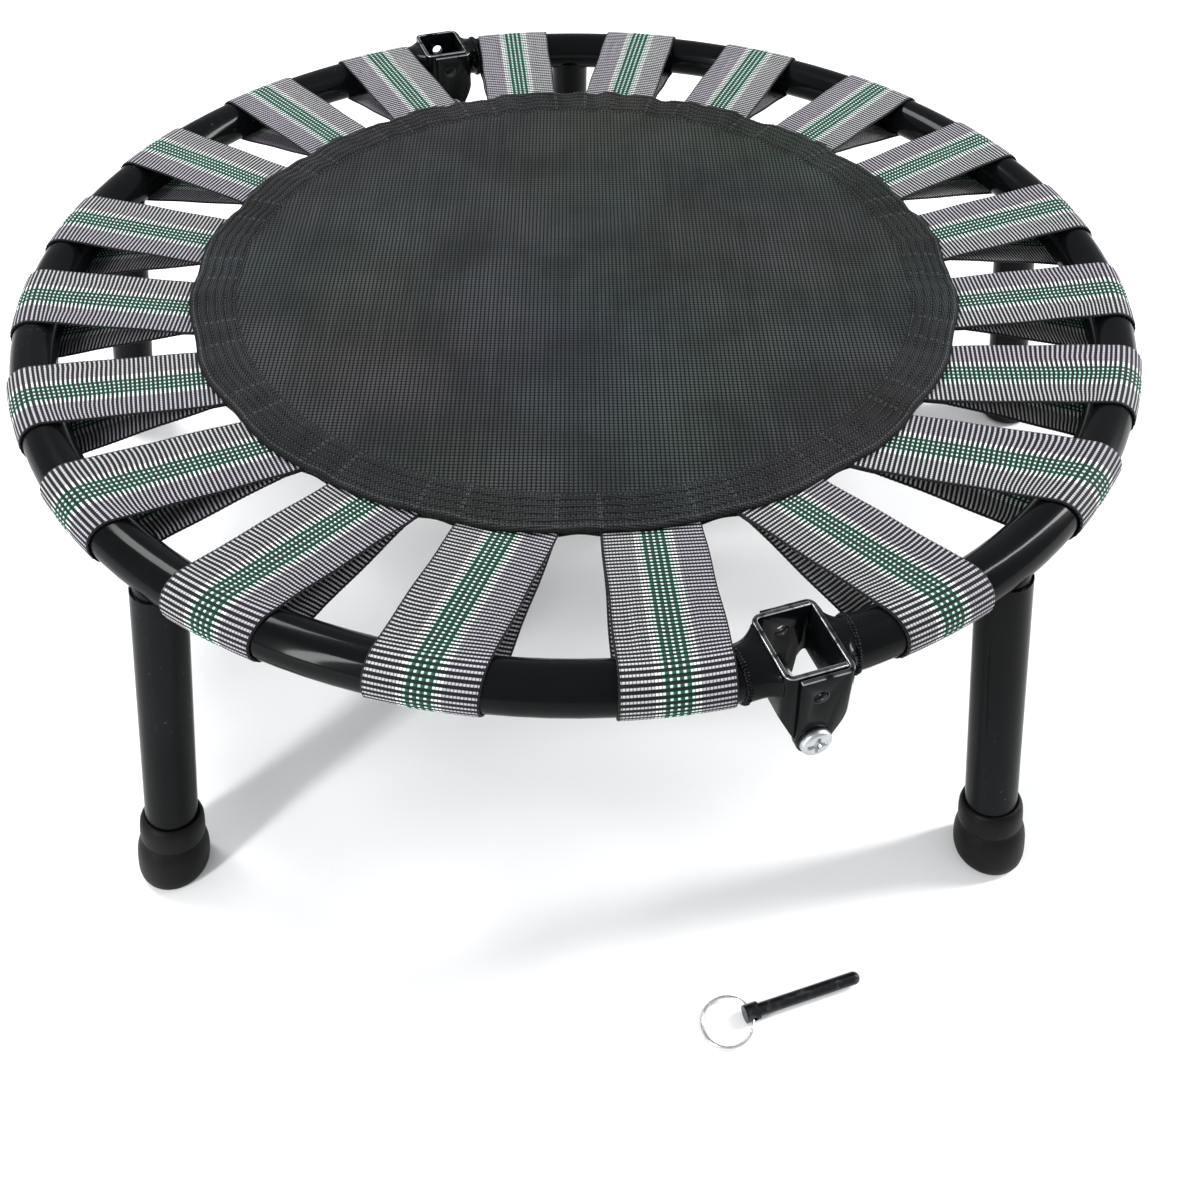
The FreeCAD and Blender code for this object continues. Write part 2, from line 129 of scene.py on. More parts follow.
class Finish(Tree):
    """A surface finish: a Principled shader with plain numbers on it, and what varies linked to it."""

    def __init__(self, name, fixed):
        self.material = bpy.data.materials.new(name)
        self.material.use_nodes = True
        super().__init__(self.material.node_tree)
        self.shader = self.tree.nodes["Principled BSDF"]
        for socket, number in fixed.items():
            self.shader.inputs[socket].default_value = number

    def vary(self, socket, tone):
        self.tree.links.new(tone.socket, self.shader.inputs[socket])

    def place(self, kind="Object"):
        return self.node("ShaderNodeTexCoord", output=kind)

    def noise(self, place, scale, detail=2.0):
        return self.node("ShaderNodeTexNoise", {"Vector": place, "Scale": scale, "Detail": detail})

    def step(self, tone, low, high):
        return self.node("ShaderNodeMapRange", {"Value": tone, "From Min": low, "From Max": high},
                         interpolation_type="SMOOTHSTEP")

    def mix(self, share, first, second):
        return self.node("ShaderNodeMix", {0: share, 6: first, 7: second}, output=2, data_type="RGBA")

    def bump(self, height, depth, strength=1.0):
        self.vary("Normal", self.node("ShaderNodeBump",
                                      {"Height": height, "Distance": depth, "Strength": strength}))


def gloss_black_paint():
    finish = Finish("gloss_black_paint", {"Coat Weight": 0.13, "Coat Roughness": 0.08,
                                          "Specular IOR Level": 0.02})
    place = finish.place()
    cloud = finish.noise(place, 9.0)
    peel = finish.noise(place, 520.0, 1.0)
    scuff = finish.step(finish.noise(place, 260.0, 4.0), 0.66, 0.74) * finish.step(cloud, 0.5, 0.7)
    rubbed = finish.node("ShaderNodeAttribute", output="Fac", attribute_name="rubbed")
    bare = rubbed * finish.step(finish.noise(place, 120.0, 3.0), 0.32, 0.52)
    colour = finish.mix(finish.step(cloud, 0.3, 0.75), paint_black, paint_haze)
    colour = finish.mix(scuff * 0.1, colour, bare_steel)
    finish.vary("Base Color", finish.mix(bare, colour, bare_steel))
    finish.vary("Roughness", 0.17 + cloud * 0.16 + scuff * 0.2)
    finish.vary("Metallic", bare * 0.8)
    finish.bump(peel + finish.noise(place, 70.0, 2.0) * 3.0, 0.00002)
    return finish.material


black_paint = gloss_black_paint()


def repaint(node, material):
    mesh = frame["nodes"][node].data
    mesh.materials.clear()
    mesh.materials.append(material)


legs = [f"leg_{number}" for number in range(1, 6)]
for node in ("ring_tube_right", "ring_tube_left", "leg_spigots_right", "leg_spigots_left",
             *(leg + "_tube" for leg in legs)):
    repaint(node, black_paint)


# ---- Feet -------------------------------------------------------------------------------------
# Black rubber caps, moulded in one piece: a bulb with a bevelled sole, a waist, and a collar that
# grips the leg tube. They push on, and stand level although the leg leans.
leg_splay = math.radians(10)
foot_turns = 72
foot_level = 0.024                  # below this height along the leg the foot turns level with the floor
foot_profile = [  # (height along the leg, radius)
    (0.0, 0.0), (0.0, 0.012), (0.0, 0.0190), (0.0004, 0.0200), (0.0016, 0.0211), (0.0040, 0.0224),
    (0.0068, 0.02315), (0.0100, 0.0235), (0.0150, 0.0236), (0.0200, 0.02345), (0.0240, 0.0230),
    (0.0275, 0.0222), (0.0300, 0.0213), (0.0315, 0.0206), (0.0325, 0.0203), (0.0334, 0.0206),
    (0.0342, 0.02095), (0.0375, 0.0211), (0.0430, 0.0210), (0.0470, 0.02065), (0.0496, 0.0199),
    (0.0512, 0.0189), (0.0519, 0.0179), (0.0518, 0.01715), (0.0490, 0.01702),
]


def moulded_rubber():
    finish = Finish("moulded_black_rubber", {"Specular IOR Level": 0.08})
    place = finish.place()
    cloud = finish.noise(place, 45.0)
    dust = finish.step(finish.noise(place, 420.0, 5.0), 0.58, 0.8)
    colour = finish.mix(cloud, (0.0025, 0.0025, 0.0025, 1), (0.006, 0.0061, 0.006, 1))
    finish.vary("Base Color", finish.mix(dust * 0.12, colour, (0.09, 0.087, 0.08, 1)))
    finish.vary("Roughness", 0.36 + cloud * 0.22)
    finish.bump(finish.noise(place, 900.0, 2.0) + finish.noise(place, 150.0, 2.0) * 2.0, 0.00007)
    return finish.material


def lay_faces(name, points, faces, material, uvs=None):
    """A smooth mesh object from points and faces, with an optional UV for each point."""
    mesh = bpy.data.meshes.new(name)
    mesh.from_pydata([tuple(point) for point in points], [], faces)
    if uvs is not None:
        layer = mesh.uv_layers.new(name="UVMap")
        corner = np.zeros(len(mesh.loops), np.int32)
        mesh.loops.foreach_get("vertex_index", corner)
        layer.data.foreach_set("uv", np.asarray(uvs, np.float32)[corner].ravel())
    mesh.shade_smooth()
    mesh.materials.append(material)
    made = bpy.data.objects.new(name, mesh)
    bpy.context.scene.collection.objects.link(made)
    return made


def ring_faces(rows, count):
    """The quads between rows of points, each row a closed ring with the same count."""
    return [(row * count + spot, row * count + (spot + 1) % count,
             (row + 1) * count + (spot + 1) % count, (row + 1) * count + spot)
            for row in range(rows) for spot in range(count)]


def turn_outwards(mesh, merge=True):
    """Joins doubled points, unless told not to, and faces the whole shell outwards."""
    shape = bmesh.new()
    shape.from_mesh(mesh)
    if merge:
        bmesh.ops.remove_doubles(shape, verts=shape.verts, dist=1e-6)
    bmesh.ops.recalc_face_normals(shape, faces=shape.faces)
    shape.to_mesh(mesh)
    shape.free()


def turned_foot(leg, rubber):
    """The profile is turned about the leaning leg; its lowest part is sheared to lie on the floor."""
    low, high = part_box(leg + "_foot")
    spread = ring_radius + ring_middle.z * math.tan(leg_splay)
    below_ring = Vector((ring_middle.x, 0, 0))
    outward = Vector(((low.x + high.x) / 2, (low.y + high.y) / 2, 0)) - below_ring
    outward.normalize()
    sole = below_ring + outward * spread
    up = Vector((0, 0, math.cos(leg_splay))) - outward * math.sin(leg_splay)
    across = outward.cross(up).normalized()
    lean = across.cross(up).normalized()
    points = []
    for height, radius in foot_profile:
        for turn in range(foot_turns):
            angle = 2 * math.pi * turn / foot_turns
            rim = (lean * math.cos(angle) + across * math.sin(angle)) * radius
            floor = -rim.z / up.z
            along = height
            if height <= foot_level:
                along = floor + height * (foot_level - floor) / foot_level
            points.append(sole + rim + up * along)
    faces = ring_faces(len(foot_profile) - 1, foot_turns)
    foot = lay_faces(leg + "_rubber_foot", points, faces, rubber)
    turn_outwards(foot.data)
    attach(foot, leg)
    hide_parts(leg + "_foot")


rubber = moulded_rubber()
for leg in legs:
    turned_foot(leg, rubber)


# ---- Hinge brackets ---------------------------------------------------------------------------
# Two pressed steel channels nest at each hinge, 3 mm plate with rounded bends, one welded to each
# half of the ring. Paint has worn through along their top edges.
plate = 0.003
outer_half_width = 0.028
web_face = 0.0205
web_bottom = 0.017
untrimmed = 0.04                    # before trimming, the channel's sides run this far past the pivot
past_all = 0.06                     # cutting solids reach this far, well clear of the bracket
hinge_sides = {"front": -1, "rear": 1}
bend_outside, bend_inside = 0.0055, 0.0025
pivot_drop = ring_middle.z - fold["pos_m"][2]
ear_round = 0.011
lock_hole, pivot_hole = 0.0045, 0.005
wear_flat, wear_edge, wear_corner = 0.08, 0.8, 0.1     # share of the paint gone from each


def rounded_channel(direction, half_width):
    """Plan of the channel: an outer and an inner line with rounded bends, paired point by point."""
    outer, inner = [], []
    for line, wide, far, bend in ((outer, half_width, web_face, bend_outside),
                                  (inner, half_width - plate, web_face - plate, bend_inside)):
        line.append((-untrimmed, -wide))
        for start, side in ((-90, -1), (0, 1)):
            for step in range(7):
                angle = math.radians(start + 15 * step)
                line.append((far - bend + bend * math.cos(angle),
                             side * (wide - bend) + bend * math.sin(angle)))
        line.append((-untrimmed, wide))
    return [[(direction * x, y) for x, y in line] for line in (outer, inner)]


def side_outline(direction, top, reach):
    """The channel seen along the pivot: down the free edge, round the pivot, up to the web."""
    corners = [(web_face, top), (-reach, top)]
    for step in range(25):
        angle = math.pi + math.pi * step / 24
        corners.append((ear_round * math.cos(angle), -pivot_drop + ear_round * math.sin(angle)))
    corners.append((web_face, -web_bottom))
    return [(direction * x, z) for x, z in corners]


def solid(points, faces):
    """A scratch solid, for cutting with; its faces point outwards."""
    made = lay_faces("scratch", points, faces, black_paint)
    turn_outwards(made.data, merge=False)
    return made


def across_pivot(outline):
    """An outline of (x, z) pushed along the pivot to both sides."""
    count = len(outline)
    points = [(x, y, z) for y in (-past_all, past_all) for x, z in outline]
    faces = [tuple(range(count)), tuple(range(count, 2 * count))]
    faces += [(spot, (spot + 1) % count, (spot + 1) % count + count, spot + count)
              for spot in range(count)]
    return solid(points, faces)


def pressed_bracket(node, body, half_width, top, reach, wear):
    """A channel trimmed to its side outline and drilled, with eased edges and worn paint on top."""
    side = hinge_sides[node.split("_")[-1]]
    direction = 1 if body == "right_frame" else -1
    outer, inner = rounded_channel(direction, half_width)
    count = len(outer)
    points = [(x, y, z) for z in (-past_all, top) for line in (outer, inner) for x, y in line]
    faces = []
    for spot in range(count - 1):
        low_out, low_in, high_out, high_in = (spot + count * level for level in range(4))
        for first, second in ((low_out, high_out), (low_in, high_in), (low_out, low_in),
                              (high_out, high_in)):
            faces.append((first, first + 1, second + 1, second))
    faces += [tuple(spot + count * level for level in (0, 1, 3, 2)) for spot in (0, count - 1)]
    bracket = solid(points, faces)
    turns = [2 * math.pi * step / 48 for step in range(48)]
    holes = [[(radius * math.cos(turn), drop + radius * math.sin(turn)) for turn in turns]
             for radius, drop in ((lock_hole, 0.0), (pivot_hole, -pivot_drop))]
    cutters = [("INTERSECT", across_pivot(side_outline(direction, top + 0.01, reach)))]
    cutters += [("DIFFERENCE", across_pivot(hole)) for hole in holes]
    for operation, cutter in cutters:
        cut = bracket.modifiers.new(operation, "BOOLEAN")
        cut.operation, cut.object, cut.solver = operation, cutter, "EXACT"
    eased = bracket.modifiers.new("eased", "BEVEL")
    eased.width, eased.segments, eased.angle_limit = 0.0006, 2, math.radians(35)
    pressed = bracket.evaluated_get(bpy.context.evaluated_depsgraph_get())
    mesh = bpy.data.meshes.new_from_object(pressed)
    for _, cutter in cutters:
        bpy.data.objects.remove(cutter)
    bracket.modifiers.clear()
    bracket.data, bracket.name = mesh, "pressed_" + node
    rubbed = mesh.attributes.new("rubbed", "FLOAT", "FACE")
    for face, mark in zip(mesh.polygons, rubbed.data):
        if face.center.z > top - 0.0008:
            mark.value = wear * (wear_flat if face.normal.z > 0.95 else wear_edge)
        elif face.area < 4e-6 and max(abs(face.normal.y), abs(face.normal.x)) < 0.95:
            mark.value = wear * wear_corner
    mesh.transform(Matrix.Translation(ring_middle + Vector((0, side * ring_radius, 0))))
    mesh.shade_smooth()
    mesh.set_sharp_from_angle(angle=math.radians(50))
    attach(bracket, body)
    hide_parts(node)


for end in hinge_sides:
    pressed_bracket("outer_bracket_" + end, "right_frame", half_width=outer_half_width, top=0.015,
                    reach=0.013, wear=0.85)
    pressed_bracket("inner_bracket_" + end, "left_frame", half_width=0.0247, top=0.017,
                    reach=0.017, wear=1.0)


# ---- Weld fillets and beads -------------------------------------------------------------------
# Each tube end runs into its bracket's web through a swaged collar, closed by a hand-laid bead of
# overlapping coins, painted over with the frame.
collar_rows = 9
collar_turns = 64
collar_bottom = 0.0165
tube_clearance = 0.0005             # a collar's narrow end stands this far outside the tube
coin_count, coin_radius = 52, 0.0023
collars = {  # (length, half width at the web, height above the tube's middle at the web)
    "right": (0.010, 0.0262, 0.0135),
    "left": (0.017, 0.0229, 0.0152),
}


def swaged_collar(name, body, side, direction, length, half_width, top):
    """A skirt from the round tube out to the web's rounded square."""
    tube_line = math.sqrt(ring_radius ** 2 - web_face ** 2)
    round_radius = tube_radius + tube_clearance
    points = []
    for row in range(collar_rows + 1):
        share = row / collar_rows
        x = ring_middle.x + direction * (web_face - 0.0004 + length * share)
        bent = math.sqrt(ring_radius ** 2 - (x - ring_middle.x) ** 2)
        round_share = 1 - (1 - share) ** 2.2
        for turn in range(collar_turns):
            angle = 2 * math.pi * turn / collar_turns
            c, s = math.cos(angle), math.sin(angle)
            square = (abs(c) ** 5 + abs(s) ** 5) ** (-1 / 5)
            height = top if s > 0 else -collar_bottom
            y = c * (half_width * square * (1 - round_share) + round_radius * round_share)
            z = s * (height * square * (1 - round_share) + round_radius * round_share)
            centre = tube_line * (1 - share) + bent * share
            points.append((x, side * centre + y, ring_middle.z + z))
    faces = [quad[::-direction] for quad in ring_faces(collar_rows, collar_turns)]
    collar = lay_faces(name, points, faces, black_paint)
    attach(collar, body)


class Recipe(Tree):
    """A Geometry Nodes tree with named sizes; it makes one plain mesh for each use."""

    def __init__(self, name, sizes):
        super().__init__(bpy.data.node_groups.new(name, "GeometryNodeTree"))
        for size, kind in sizes.items():
            self.tree.interface.new_socket(name=size, in_out="INPUT", socket_type="NodeSocket" + kind)
        self.tree.interface.new_socket(name="Geometry", in_out="OUTPUT", socket_type="NodeSocketGeometry")
        self.given = self.tree.nodes.new("NodeGroupInput")

    def size(self, name):
        return Tone(self, self.given.outputs[name])

    def finish(self, instances, material):
        plain = self.node("GeometryNodeRealizeInstances", {0: instances})
        painted = self.node("GeometryNodeSetMaterial", {0: plain, "Material": material})
        end = self.tree.nodes.new("NodeGroupOutput")
        self.tree.links.new(painted.socket, end.inputs[0])

    def make(self, name, start=None, **sizes):
        mesh = start if start else bpy.data.meshes.new(name + "_start")
        holder = bpy.data.objects.new(name, mesh)
        bpy.context.scene.collection.objects.link(holder)
        modifier = holder.modifiers.new("recipe", "NODES")
        modifier.node_group = self.tree
        for item in self.tree.interface.items_tree:
            if item.in_out == "INPUT" and item.name in sizes:
                modifier[item.identifier] = sizes[item.name]
        evaluated = holder.evaluated_get(bpy.context.evaluated_depsgraph_get())
        plain = bpy.data.meshes.new_from_object(evaluated)
        holder.modifiers.clear()
        holder.data = plain
        plain.shade_smooth()
        return holder


def bead_recipe():
    recipe = Recipe("weld_coins", {"Geometry": "Geometry", "Radius": "Float", "Coins": "Int",
                                   "Coin": "Float", "Seed": "Int"})
    line = recipe.node("GeometryNodeCurvePrimitiveCircle", {"Radius": recipe.size("Radius"),
                                                            "Resolution": 96})
    spread = recipe.node("GeometryNodeCurveToPoints", {"Curve": line, "Count": recipe.size("Coins")},
                         mode="COUNT")
    turned = Tone(recipe, spread.socket.node.outputs["Rotation"])
    coin = recipe.node("GeometryNodeMeshIcoSphere", {"Radius": recipe.size("Coin"), "Subdivisions": 2})
    uneven = recipe.node("FunctionNodeRandomValue", {0: (0.75, 0.8, 0.5), 1: (1.15, 1.1, 0.85),
                                                     "Seed": recipe.size("Seed")}, data_type="FLOAT_VECTOR")
    laid = recipe.node("GeometryNodeInstanceOnPoints", {"Points": spread, "Instance": coin,
                                                        "Rotation": turned, "Scale": uneven})
    recipe.finish(laid, black_paint)
    return recipe


weld_coins = bead_recipe()
for body, half, direction in (("right_frame", "right", 1), ("left_frame", "left", -1)):
    length, half_width, top = collars[half]
    beads = []
    for number, (end, side) in enumerate(hinge_sides.items()):
        swaged_collar(f"collar_{half}_{end}", body, side, direction, length, half_width, top)
        bead = weld_coins.make(f"bead_{half}_{end}", Radius=tube_radius - 0.0002, Coins=coin_count,
                               Coin=coin_radius, Seed=number + direction)
        reach = web_face + length
        bent = math.sqrt(ring_radius ** 2 - reach ** 2)
        lean = math.asin(reach / ring_radius) * direction * -side
        seat = Matrix.Translation((ring_middle.x + direction * reach, side * bent, ring_middle.z))
        bead.data.transform(seat @ Matrix.Rotation(-lean, 4, "Z") @ Matrix.Rotation(math.pi / 2, 4, "Y"))
        beads.append(bead)
    shape = bmesh.new()
    for bead in beads:
        shape.from_mesh(bead.data)
    bead_mesh = bpy.data.meshes.new(f"weld_bead_{half}")
    shape.to_mesh(bead_mesh)
    shape.free()
    bead_mesh.materials.append(black_paint)
    for bead in beads:
        bpy.data.objects.remove(bead)
    welds = bpy.data.objects.new(f"weld_bead_{half}", bead_mesh)
    bpy.context.scene.collection.objects.link(welds)
    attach(welds, body)
    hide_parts(f"weld_beads_{half}")


# ---- Pivot bolts, nuts, washers and sleeves ---------------------------------------------------
# Zinc-plated M10 hardware: a pan-headed bolt with a cross recess comes in from outside, through a
# spacer sleeve, and is held by a washer and nut on the mat's side.
def zinc_plate():
    finish = Finish("zinc_plate", {"Metallic": 1.0})
    place = finish.place()
    cloud = finish.noise(place, 240.0, 3.0)
    colour = finish.mix(cloud, (0.34, 0.36, 0.38, 1), (0.56, 0.57, 0.57, 1))
    stain = finish.step(finish.noise(place, 600.0, 4.0), 0.6, 0.75)
    finish.vary("Base Color", finish.mix(stain * 0.5, colour, (0.20, 0.20, 0.19, 1)))
    finish.vary("Roughness", 0.26 + cloud * 0.22)
    finish.bump(finish.noise(place, 1500.0, 2.0), 0.00005)
    return finish.material


zinc = zinc_plate()
head_radius, head_height = 0.0095, 0.0052
head_rows, head_turns = 22, 96
recess_depth = 0.0030
wing_half, wing_wall = 0.0010, 0.0005           # half thickness of a recess wing, and its sloping wall
wing_reach, wing_end = 0.0042, 0.0022           # how far a wing goes at full depth, and its sloping end
middle_radius, middle_wall = 0.0021, 0.0009     # the round middle of the recess, and its sloping wall


def grown(value, start, width):
    """0 up to the start, then rising evenly to 1 over the width."""
    return min(1.0, max(0.0, (value - start) / width))


def pan_head(end, side):
    """The head is turned about the pivot, with four recess wings sunk into its dome."""
    middle = ring_middle + Vector((0, side * (ring_radius + outer_half_width), -pivot_drop))
    points = []
    for row in range(head_rows + 1):
        share = row / head_rows
        radius = head_radius * math.sin(share * math.pi / 2)
        height = head_height * (1 - share ** 3.2) ** 0.6 if row < head_rows else 0.0
        for turn in range(head_turns):
            angle = 2 * math.pi * turn / head_turns
            x, z = radius * math.cos(angle), radius * math.sin(angle)
            in_wing = 1 - grown(min(abs(x), abs(z)), wing_half, wing_wall)
            in_reach = 1 - grown(radius, wing_reach, wing_end)
            in_middle = 1 - grown(radius, middle_radius, middle_wall)
            drop = recess_depth * max(in_wing * in_reach, in_middle)
            points.append(middle + Vector((x, side * (height - drop), z)))
    head = lay_faces(f"pan_head_bolt_{end}", points, ring_faces(head_rows, head_turns), zinc)
    turn_outwards(head.data)
    shape = bmesh.new()
    shape.from_mesh(head.data)
    rim = [edge for edge in shape.edges if edge.is_boundary]
    bmesh.ops.contextual_create(shape, geom=rim)
    shape.to_mesh(head.data)
    shape.free()
    return head


for end, side in hinge_sides.items():
    head = pan_head(end, side)
    shank = frame["nodes"][f"pivot_bolt_{end}"].data.copy()
    shape = bmesh.new()
    shape.from_mesh(shank)
    bmesh.ops.remove_doubles(shape, verts=shape.verts, dist=1e-6)
    dome = [v for v in shape.verts if side * v.co.y > ring_radius + outer_half_width - 1e-5]
    bmesh.ops.delete(shape, geom=dome, context="VERTS")
    shape.from_mesh(head.data)
    shape.to_mesh(head.data)
    shape.free()
    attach(head, "right_frame")
    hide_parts(f"pivot_bolt_{end}")
for node in ("pivot_nut_front", "pivot_nut_rear", "pivot_washers", "pivot_sleeves"):
    repaint(node, zinc)


# ---- Lock pins --------------------------------------------------------------------------------
# Turned steel pins with a black oxide skin and a sprung nickel wire ring; each is pulled out of its
# hinge and lies on the floor below it.
def black_oxide():
    finish = Finish("black_oxide", {"Metallic": 0.85})
    place = finish.place()
    rub = finish.step(finish.noise(place, 180.0, 4.0), 0.5, 0.78)
    finish.vary("Base Color", finish.mix(rub * 0.4, (0.018, 0.019, 0.021, 1), (0.16, 0.16, 0.165, 1)))
    finish.vary("Roughness", 0.3 + rub * 0.2)
    finish.bump(finish.noise(place, 1200.0, 2.0), 0.00004)
    return finish.material


def nickel_wire():
    finish = Finish("nickel_wire", {"Metallic": 1.0})
    cloud = finish.noise(finish.place(), 400.0, 3.0)
    finish.vary("Base Color", finish.mix(cloud, (0.50, 0.49, 0.47, 1), (0.72, 0.71, 0.69, 1)))
    finish.vary("Roughness", 0.18 + cloud * 0.15)
    return finish.material


pin_skin, ring_skin = black_oxide(), nickel_wire()
for end in hinge_sides:
    repaint("lock_pin_" + end, pin_skin)
    repaint("pin_ring_" + end, ring_skin)


# ---- Jumping mat ------------------------------------------------------------------------------
# Square-woven black polypropylene, cut to a 564 mm disc and hemmed all round, in one piece across the
# fold. The hem is stitched down in rows over the ends of the webbing, and puckers between them.
mat_radius = 0.282
hem_start = 0.248
mat_top = ring_middle.z + 0.011
mat_thick = 0.0019
row_pitch = 0.0063
stitch_rows = tuple(0.2500 + row_pitch * row for row in range(5))
loops = 20
weave_turn = math.radians(18.6)     # the cloth's warp lies at this angle to the fold
ripple_start = 0.2                  # further in, the cloth is flat but for its sag
deepest_puckers = math.radians(62)


def near_loop(turn):
    """Is 1 over the middle of a webbing loop's end, 0 half way to the next."""
    return 0.5 - 0.5 * math.cos(loops * (turn + math.pi / 2))


def mat_height(radius, turn):
    """Height of the mat's upper face: a slight sag, puffed channels between the stitch rows, puckers."""
    sag = -0.0012 * (1 - min(1.0, radius / hem_start) ** 2)
    if radius < ripple_start:
        return mat_top + sag
    hem = grown(radius, hem_start - 0.012, 0.012)
    gather = 0.45 + 0.55 * math.cos(turn - deepest_puckers)
    pucker = (math.sin(turn * 47 + 2.1 * math.sin(turn * 5))
              + 0.6 * math.sin(turn * 83 + 1.7 * math.sin(turn * 7)))
    inner = grown(radius, ripple_start, 0.05)
    wave = 0.0006 * pucker * (0.35 + max(0.0, gather)) * hem * hem + 0.00012 * pucker * inner
    puff = 0.0
    for first, last in zip(stitch_rows, stitch_rows[1:] + (mat_radius - 0.0012,)):
        if first <= radius <= last:
            channel = math.sin(math.pi * (radius - first) / (last - first)) ** 0.7
            puff = 0.0017 * channel * (1 + 0.25 * math.sin(turn * 61 + first * 900))
    step = 0.0004 * grown(radius, hem_start - 0.0015, 0.0015)
    lift = -0.0008 * (1 - near_loop(turn)) * grown(radius, mat_radius - 0.02, 0.02)
    return mat_top + sag + wave + puff + step + lift


def pulled_in(radius, turn):
    """Where a circle of the cut cloth ends up: the edge pulls in a little between the loops."""
    edge = mat_radius - 0.0026 * (1 - near_loop(turn)) ** 1.5 - 0.0005 * math.sin(turn * 13)
    return radius * (1 + (edge / mat_radius - 1) * max(0.0, (radius / mat_radius - 0.85) / 0.15))


# Near-black painted shade: it fills the hollows between the yarns of the weave, and the creases along the
# hem's stitch rows.
painted_hollow_shade = (0.0008, 0.0009, 0.001, 1)


def woven_polypropylene(name, weave_pitch, dull, bright, hem):
    finish = Finish(name, {"Specular IOR Level": 0.1, "Sheen Weight": 0.01, "Sheen Roughness": 0.4})
    place = finish.place("UV")
    flat = finish.node("ShaderNodeSeparateXYZ", {0: place})
    x, y = flat, Tone(finish, flat.socket.node.outputs[1])
    warp = x.wave(math.pi / weave_pitch)
    weft = y.wave(math.pi / weave_pitch)
    height = warp * weft
    yarn = finish.step(height, 0.12, 0.75)
    in_space = finish.place()
    streaks = finish.node("ShaderNodeMapping", {"Vector": place, "Scale": (150.0, 9.0, 1.0)})
    cloud = finish.noise(in_space, 16.0, 8.0) * 0.7 + finish.noise(streaks, 1.0, 4.0) * 0.3
    cloud = finish.step(cloud, 0.3, 0.7)
    tint = finish.node("ShaderNodeTexNoise", {"Vector": in_space, "Scale": 5.0, "Detail": 1.0},
                       output="Color")
    # Noise lays random patches between the dull green-grey cloth and a brighter bluish tone; that brighter
    # tone is painted sheen of the glossy tape yarns.
    yarn_tone_with_painted_light = finish.mix(cloud, dull, bright)
    yarn_tone_with_painted_light = finish.node("ShaderNodeMix", {0: 0.35, 6: yarn_tone_with_painted_light, 7: tint}, output=2, data_type="RGBA",
                      blend_type="SOFT_LIGHT")
    # On the hem the colour falls to painted shade in a band along each stitch row, in the crease between
    # the puffed channels.
    if hem:
        radius = finish.node("ShaderNodeVectorMath", {0: place}, output="Value", operation="LENGTH")
        row = (radius - stitch_rows[0]).wave(math.pi / row_pitch)
        yarn_tone_with_painted_light = finish.mix(finish.step(row, 0.1, 0.75), painted_hollow_shade, yarn_tone_with_painted_light)
    # The crowns of the weave take the cloth colour; the hollows between the yarns take painted shade.
    finish.vary("Base Color", finish.mix(yarn, painted_hollow_shade, yarn_tone_with_painted_light))
    finish.vary("Roughness", 0.62 - yarn * 0.2 + cloud * 0.05)
    fibre = finish.noise(in_space, 2600.0, 2.0)
    finish.bump(height + fibre * 0.3, 0.0003 if hem else 0.0004, 0.9)
    return finish.material


mat_cloth = woven_polypropylene("woven_polypropylene", 0.0029, (0.016, 0.0195, 0.0190, 1),
                                (0.046, 0.050, 0.051, 1), False)
hem_cloth = woven_polypropylene("hemmed_polypropylene", 0.0017, (0.009, 0.0105, 0.0108, 1),
                                (0.040, 0.043, 0.046, 1), True)


def disc_shell(name, radii, upper, lower, turns, materials, hem_from):
    """A closed round sheet: upper face out, round the rolled edge, and back along the lower face."""
    path = [(radius, True) for radius in radii] + [(radius, False) for radius in reversed(radii)]
    points, uvs, faces, kinds = [], [], [], []
    for radius, top in path:
        for number in range(turns):
            turn = 2 * math.pi * number / turns
            far = pulled_in(radius, turn)
            height = upper(radius, turn) if top else lower(radius, turn)
            points.append((ring_middle.x + far * math.cos(turn), far * math.sin(turn), height))
            uvs.append((radius * math.cos(turn + weave_turn), radius * math.sin(turn + weave_turn)))
    rows = len(path)
    for row in range(rows if radii[0] > 0 else rows - 1):
        below = (row + 1) % rows
        for number in range(turns):
            after = (number + 1) % turns
            faces.append((row * turns + number, below * turns + number,
                          below * turns + after, row * turns + after))
            kinds.append(1 if path[row][0] >= hem_from else 0)
    shell = lay_faces(name, points, faces, materials[0], uvs)
    for material in materials[1:]:
        shell.data.materials.append(material)
    shell.data.polygons.foreach_set("material_index", kinds)
    turn_outwards(shell.data)
    return shell


def mat_under(radius, turn):
    """The mat's lower face; the outermost edge is thinner."""
    return mat_height(radius, turn) - mat_thick * (1 - 0.35 * (radius > mat_radius - 0.0004))


mat_rings = ([0.0] + [0.0155 * step for step in range(1, 16)]
             + [hem_start - 0.0075, hem_start - 0.003, hem_start - 0.0015, hem_start - 0.0005]
             + [hem_start + 0.0008 + 0.00105 * step for step in range(31)] + [0.2816, mat_radius])
mat = disc_shell("jumping_mat", mat_rings, mat_height, mat_under, 360, [mat_cloth, hem_cloth], 0.2474)
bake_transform(mat)
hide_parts("mat_right", "mat_left")


# ---- Hem facing -------------------------------------------------------------------------------
# A band of the same cloth under the mat's edge, which closes over the ends of the webbing. It lies
# flat under each end, and is drawn up to the mat between them.
facing_top = ring_middle.z + 0.0058
facing_thick = 0.0012


def facing_upper(radius, turn):
    rise = (1 - min(1.0, near_loop(turn) * 3.2)) ** 2
    return facing_top + rise * (mat_top - mat_thick - 0.0014 - facing_top)


def facing_lower(radius, turn):
    return facing_upper(radius, turn) - facing_thick


facing_rings = [hem_start + 0.0034 * step for step in range(10)] + [mat_radius - 0.0008]
facing = disc_shell("hem_facing", facing_rings, facing_upper, facing_lower, 360, [hem_cloth], 0.0)
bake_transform(facing)
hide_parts("mat_hem_right", "mat_hem_left")


